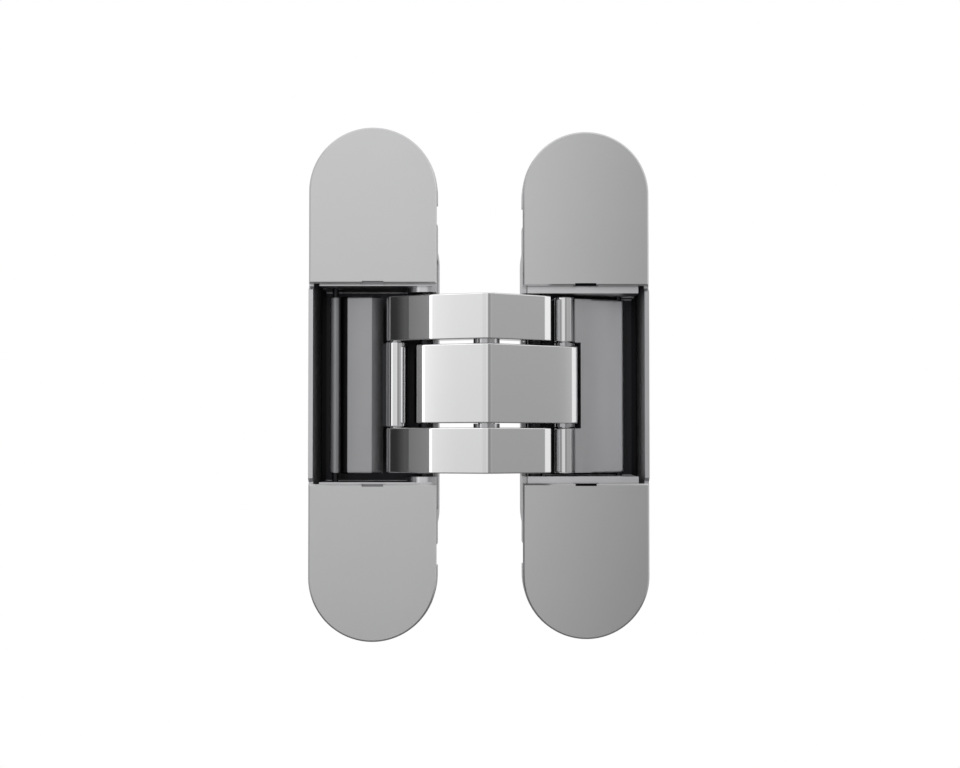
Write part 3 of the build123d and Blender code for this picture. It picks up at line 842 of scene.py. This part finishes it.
@dataclass
class Studio:
    """Backdrop, light and camera, at the photograph's viewing angle."""

    target_mm: tuple[float, float, float] = (20.0, -5.6, 0.0)
    distance_mm: float = 340.0
    elevation_deg: float = -1.8
    focal_px: float = 1815.0
    sensor_mm: float = 36.0
    floor_drop_mm: float = 150.0
    floor_half_mm: float = 4000.0
    tent_r_mm: float = 300.0
    tent_half_mm: float = 320.0
    tent_steps: int = 180
    tent_peak: float = 1.6
    tent_rise: float = 0.58
    # Degrees round from the front, the right positive, with the light that the tent's wall gives there.
    tent: list[tuple[float, float]] = field(default_factory=lambda: [
        (-180.0, 0.6), (-77.0, 0.6), (-73.0, 0.03), (-68.0, 0.035), (-62.3, 0.11), (-60.5, 0.17),
        (-59.2, 0.24), (-57.6, 0.28), (-56.4, 1.6), (-48.6, 1.6), (-47.4, 0.98), (-45.0, 0.86),
        (-43.0, 0.84), (-38.0, 0.79), (-12.0, 0.77), (-2.0, 0.85), (2.0, 0.84), (5.0, 0.75), (9.0, 0.43),
        (13.0, 0.3), (24.0, 0.34), (36.0, 0.47), (46.0, 0.43), (76.0, 0.43), (78.5, 1.0), (92.0, 1.0),
        (95.0, 0.6), (180.0, 0.6)])
    card_drop_mm: float = 140.0
    card_r_mm: float = 290.0
    card_light: float = 0.2
    card_steps: int = 90
    clip_near_m: float = 0.01
    clip_far_m: float = 100.0
    world_grey: str = "#B0B0B0"
    paper: str = "#E8E8E8"

    def camera(self) -> bpy.types.Object:
        """Set the camera in front of the hinge, a little below its middle.

        Returns:
            The camera.
        """
        data = bpy.data.cameras.new("camera")
        data.sensor_width = self.sensor_mm
        data.lens = self.sensor_mm * self.focal_px / IMAGE_W
        made = add_object("camera", data)
        rise = math.radians(self.elevation_deg)
        back = Vector((0.0, -math.cos(rise), math.sin(rise)))
        made.location = Vector(self.target_mm) * MM + back * (self.distance_mm * MM)
        made.rotation_mode = "QUATERNION"
        made.rotation_quaternion = (-back).to_track_quat("-Z", "Y")
        data.clip_start = self.clip_near_m
        data.clip_end = self.clip_far_m
        bpy.context.scene.camera = made
        return made

    def seen(self, tree: bpy.types.NodeTree) -> bpy.types.NodeSocket:
        """One for rays of the camera, of a mirror or of glass, nought for rays that light a surface."""
        ray = add_node(tree, "ShaderNodeLightPath").outputs
        either = add_node(tree, "ShaderNodeMath", {"operation": "MAXIMUM"},
                          links={0: ray["Is Camera Ray"], 1: ray["Is Glossy Ray"]}).outputs[0]
        return add_node(tree, "ShaderNodeMath", {"operation": "MAXIMUM"},
                        links={0: either, 1: ray["Is Transmission Ray"]}).outputs[0]

    def world(self) -> None:
        """A white backdrop that lights the hinge from above and below with a plain grey."""
        made = bpy.data.worlds.new("studio")
        bpy.context.scene.world = made
        made.use_nodes = True
        tree = made.node_tree
        tree.nodes.clear()
        colour = add_node(tree, "ShaderNodeMix", {"data_type": "RGBA"},
                          {"A": linear(self.world_grey), "B": linear(WHITE)},
                          {"Factor": self.seen(tree)}).outputs["Result"]
        shader = add_node(tree, "ShaderNodeBackground", values={"Strength": 1.0}, links={"Color": colour})
        add_node(tree, "ShaderNodeOutputWorld", links={"Surface": shader.outputs["Background"]})

    def light_tent(self) -> bpy.types.Object:
        """An upright tube of lit cloth round the hinge, which the camera looks through.

        The wall is a circle of constant radius carried up between two heights. Its light is a ramp
        over the angle round the upright axis, arctan of x over -y, and grows a little with height.

        Returns:
            The tent.
        """
        steps = self.tent_steps
        turn = np.linspace(-np.pi, np.pi, steps, endpoint=False)
        ring = np.stack((np.sin(turn), -np.cos(turn)), axis=1) * self.tent_r_mm
        ring += np.array(self.target_mm[:2])
        ends = np.repeat([-self.tent_half_mm, self.tent_half_mm], steps)[:, None]
        points = np.concatenate((np.tile(ring, (2, 1)), ends), axis=1) * MM
        mesh = bpy.data.meshes.new("light_tent")
        mesh.from_pydata(points.tolist(), [], ring_quads(steps, 2)[:, ::-1].tolist())
        made = add_object("light_tent", mesh)
        cloth = blank_material("lit tent cloth")
        tree = cloth.node_tree
        where = add_node(tree, "ShaderNodeTexCoord").outputs["Object"]
        middle = (-self.target_mm[0] * MM, -self.target_mm[1] * MM, 0.0)
        centred = add_node(tree, "ShaderNodeMapping", values={"Location": middle}, links={"Vector": where})
        parts = add_node(tree, "ShaderNodeSeparateXYZ", links={"Vector": centred.outputs["Vector"]}).outputs
        front = add_node(tree, "ShaderNodeMath", {"operation": "MULTIPLY"}, {1: -1.0}, {0: parts["Y"]})
        around = add_node(tree, "ShaderNodeMath", {"operation": "ARCTAN2"},
                          links={0: parts["X"], 1: front.outputs[0]}).outputs[0]
        share = add_node(tree, "ShaderNodeMapRange", values={"From Min": -math.pi, "From Max": math.pi},
                         links={"Value": around}).outputs["Result"]
        ramp = add_node(tree, "ShaderNodeValToRGB", links={"Fac": share})
        fill_ramp(ramp, [(angle / 360.0 + 0.5, light / self.tent_peak) for angle, light in self.tent])
        span = 0.5 * self.tent_r_mm * MM
        rise = add_node(tree, "ShaderNodeMapRange",
                        values={"From Min": -span, "From Max": span,
                                "To Min": self.tent_peak * (1.0 - 0.5 * self.tent_rise),
                                "To Max": self.tent_peak * (1.0 + 0.5 * self.tent_rise)},
                        links={"Value": parts["Z"]}).outputs["Result"]
        glow = add_node(tree, "ShaderNodeEmission",
                        links={"Color": ramp.outputs["Color"], "Strength": rise})
        add_node(tree, "ShaderNodeOutputMaterial", links={"Surface": glow.outputs["Emission"]})
        mesh.materials.append(cloth)
        made.visible_camera = False
        return made

    def grey_card(self) -> bpy.types.Object:
        """A round grey card under the hinge, which only metal shows.

        The card is a circle of constant radius at one height.

        Returns:
            The card.
        """
        steps = self.card_steps
        turn = np.linspace(0.0, 2.0 * np.pi, steps, endpoint=False)
        ring = np.stack((np.cos(turn), np.sin(turn)), axis=1) * self.card_r_mm
        ring += np.array(self.target_mm[:2])
        points = np.concatenate((ring, np.full((steps, 1), -self.card_drop_mm)), axis=1) * MM
        mesh = bpy.data.meshes.new("grey_card")
        mesh.from_pydata(points.tolist(), [], [list(range(steps))])
        made = add_object("grey_card", mesh)
        card = blank_material("grey card")
        tree = card.node_tree
        glow = add_node(tree, "ShaderNodeEmission",
                        values={"Color": linear(WHITE), "Strength": self.card_light})
        add_node(tree, "ShaderNodeOutputMaterial", links={"Surface": glow.outputs["Emission"]})
        mesh.materials.append(card)
        made.visible_camera = False
        made.visible_diffuse = False
        made.visible_shadow = False
        return made

    def floor(self) -> bpy.types.Object:
        """A plain white floor well below the hinge, pure white to the camera.

        Returns:
            The floor.
        """
        half, drop = self.floor_half_mm * MM, -self.floor_drop_mm * MM
        mesh = bpy.data.meshes.new("floor")
        corners = [(-half, -half, drop), (half, -half, drop), (half, half, drop), (-half, half, drop)]
        mesh.from_pydata(corners, [], [(0, 1, 2, 3)])
        made = add_object("floor", mesh)
        sheet = blank_material("white paper")
        tree = sheet.node_tree
        matt = add_node(tree, "ShaderNodeBsdfDiffuse", values={"Color": linear(self.paper)})
        glow = add_node(tree, "ShaderNodeEmission", values={"Color": linear(WHITE), "Strength": 1.0})
        both = add_node(tree, "ShaderNodeMixShader",
                        links={0: self.seen(tree), 1: matt.outputs["BSDF"], 2: glow.outputs["Emission"]})
        add_node(tree, "ShaderNodeOutputMaterial", links={"Surface": both.outputs["Shader"]})
        mesh.materials.append(sheet)
        return made


def main() -> None:
    """Dress every piece, then set the studio round it."""
    logging.basicConfig(level=logging.INFO, format="%(name)s %(message)s")
    bpy.context.scene.view_settings.view_transform = "Standard"
    kinds = (POLISHED_NICKEL, SHADED_LINK_STEEL, LIT_LINK_NICKEL, PAINTED_SHADE_STEEL, GROUND_STEEL, ZINC_PLATE,
             BEARING_PLASTIC)
    finishes = {kind.name: kind.material() for kind in kinds}
    HousingHalf(Half.FRAME, middle_mm=(0.0, -8.0), plate_in_mm=18.35, lacquer=GREY_NOTCH_SHADE_LACQUER).dress(finishes)
    HousingHalf(Half.DOOR, middle_mm=(40.0, -3.2), plate_in_mm=17.35, lacquer=DARK_NOTCH_SHADE_LACQUER).dress(finishes)
    arms = Arms()
    arms.build(finishes[POLISHED_NICKEL.name])
    arms.dress(finishes)
    # The dark steel passed to the links is painted shade.
    polished, shaded = finishes[POLISHED_NICKEL.name], finishes[PAINTED_SHADE_STEEL.name]
    Link(Half.FRAME, slide=12.15, set_back=0.0).build([finishes[SHADED_LINK_STEEL.name], polished, shaded])
    Link(Half.DOOR, slide=12.7, set_back=0.9).build([finishes[LIT_LINK_NICKEL.name], polished, shaded])
    studio = Studio()
    studio.world()
    studio.light_tent()
    studio.grey_card()
    studio.floor()
    studio.camera()


if __name__ == "__main__":
    main()
